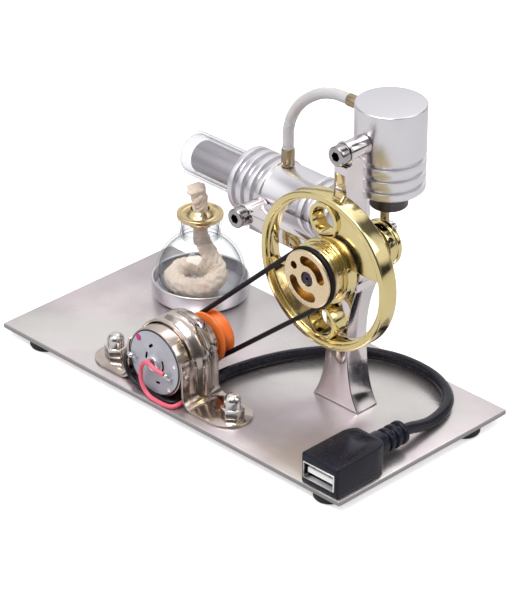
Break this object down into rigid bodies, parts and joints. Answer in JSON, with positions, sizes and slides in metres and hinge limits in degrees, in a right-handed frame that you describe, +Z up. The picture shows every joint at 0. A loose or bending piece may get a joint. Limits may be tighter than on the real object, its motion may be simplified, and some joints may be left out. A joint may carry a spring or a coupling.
{
  "type": "desktop Stirling engine generator model",
  "caption": "Desktop hot-air engine: spirit lamp heats a glass-ended cylinder whose pistons turn a spoked flywheel, which drives a small generator by belt and feeds a cable outlet.",
  "frame": {"origin": "centre of the bounding footprint at the underside of the rubber feet", "axes": "+Z up; +X along the plate's long edge from the lamp end to the outlet end; +Y from the generator side to the cylinder side. The crankshaft and generator turn about lines parallel to Y, the displacer slides along X and the power piston along Z"},
  "size_m": [0.16, 0.0815, 0.1077],
  "materials": {
    "plate_steel": "brushed stainless sheet with a light bevelled edge",
    "nickel_casting": "polished bright casting",
    "bright_steel": "bright zinc or nickel finish",
    "dark_steel": "dark ground steel",
    "aluminium": "turned, satin with bright cut rings",
    "gold_plate": "polished gold-coloured plating",
    "brass_face": "satin machined brass",
    "brass": "machined brass",
    "black_rubber": "matt moulded rubber",
    "black_pvc": "soft semi-matt sheath and overmould",
    "white_plastic": "moulded, semi-matt",
    "orange_plastic": "moulded, light gloss",
    "red_wire": "soft wire sheath",
    "glass": "clear",
    "silicone_hose": "milky translucent silicone",
    "cotton_wick": "braided undyed cotton",
    "motor_end_grey": "moulded, matt",
    "copper_winding": "varnished copper winding"
  },
  "bodies": {
    "frame": {"air_hose": "silicone_hose", "base_plate": "plate_steel", "bearing_front": "bright_steel", "bearing_rear": "bright_steel", "black_wire": "black_pvc", "cap_nut_left": "bright_steel", "cap_nut_right": "bright_steel", "clamp_bolt_left": "bright_steel", "clamp_bolt_right": "bright_steel", "cooler_body": "aluminium", "cooler_screw": "bright_steel", "cooler_washer": "bright_steel", "cylinder_screw": "bright_steel", "cylinder_washer": "bright_steel", "drive_belt": "black_rubber", "foot_front_left": "black_rubber", "foot_front_right": "black_rubber", "foot_rear_left": "black_rubber", "foot_rear_right": "black_rubber", "hot_glass_tube": "glass", "motor_can": "bright_steel", "motor_clamp": "bright_steel", "motor_end_plate": "motor_end_grey", "nipple_cooler": "brass", "nipple_power": "brass", "power_cylinder": "aluminium", "power_liner": "dark_steel", "red_wire": "red_wire", "rod_guide_bush": "brass", "stand": "nickel_casting", "stand_screw_1": "bright_steel", "stand_screw_2": "bright_steel", "tube_gasket": "black_rubber", "usb_cable": "black_pvc", "usb_housing": "black_pvc", "usb_insulator": "white_plastic", "usb_shell": "bright_steel"},
    "crank": {"crankshaft": "dark_steel", "flywheel": "gold_plate", "drive_pulley": "brass_face", "crank_disc": "gold_plate", "crank_set_screw": "dark_steel", "crank_pin": "bright_steel"},
    "motor_rotor": {"motor_shaft": "bright_steel", "motor_armature": "copper_winding", "motor_pulley": "orange_plastic"},
    "power_link": {"power_conrod": "brass", "power_wrist_pin": "bright_steel"},
    "displacer_link": {"displacer_conrod": "bright_steel", "displacer_wrist_pin": "bright_steel"},
    "piston_slider": {"power_piston": "bright_steel"},
    "displacer_slider": {"displacer": "dark_steel", "displacer_rod": "bright_steel"},
    "lamp": {"lamp_cup": "aluminium", "lamp_glass": "glass", "lamp_cap": "brass", "lamp_wick": "cotton_wick"}
  },
  "joints": [
    {"name": "crank_spin", "type": "hinge", "parent": "frame", "child": "crank", "pos_m": [0.0378, 0, 0.0578], "axis": [0, 1, 0], "continuous": true},
    {"name": "motor_spin", "type": "hinge", "parent": "frame", "child": "motor_rotor", "pos_m": [-0.008, 0, 0.0176], "axis": [0, 1, 0], "continuous": true},
    {"name": "power_link_pivot", "type": "hinge", "parent": "crank", "child": "power_link", "pos_m": [0.0362, 0.026, 0.06057], "axis": [0, 1, 0], "continuous": true},
    {"name": "displacer_link_pivot", "type": "hinge", "parent": "crank", "child": "displacer_link", "pos_m": [0.0362, 0.026, 0.06057], "axis": [0, 1, 0], "continuous": true},
    {"name": "piston_slide", "type": "slide", "parent": "frame", "child": "piston_slider", "axis": [0, 0, 1], "range_m": [-0.00597, 0.00042]},
    {"name": "displacer_slide", "type": "slide", "parent": "frame", "child": "displacer_slider", "axis": [1, 0, 0], "range_m": [-0.0016, 0.0048]},
    {"name": "lamp_slide", "type": "slide", "parent": "frame", "child": "lamp", "axis": [-1, 0, 0], "range_m": [0, 0.012]}
  ],
  "couplings": [
    {"joint": "motor_spin", "follows": "crank_spin", "ratio": 1.225},
    {"joint": "power_link_pivot", "follows": "crank_spin", "ratio": -1},
    {"joint": "displacer_link_pivot", "follows": "crank_spin", "ratio": -1}
  ]
}
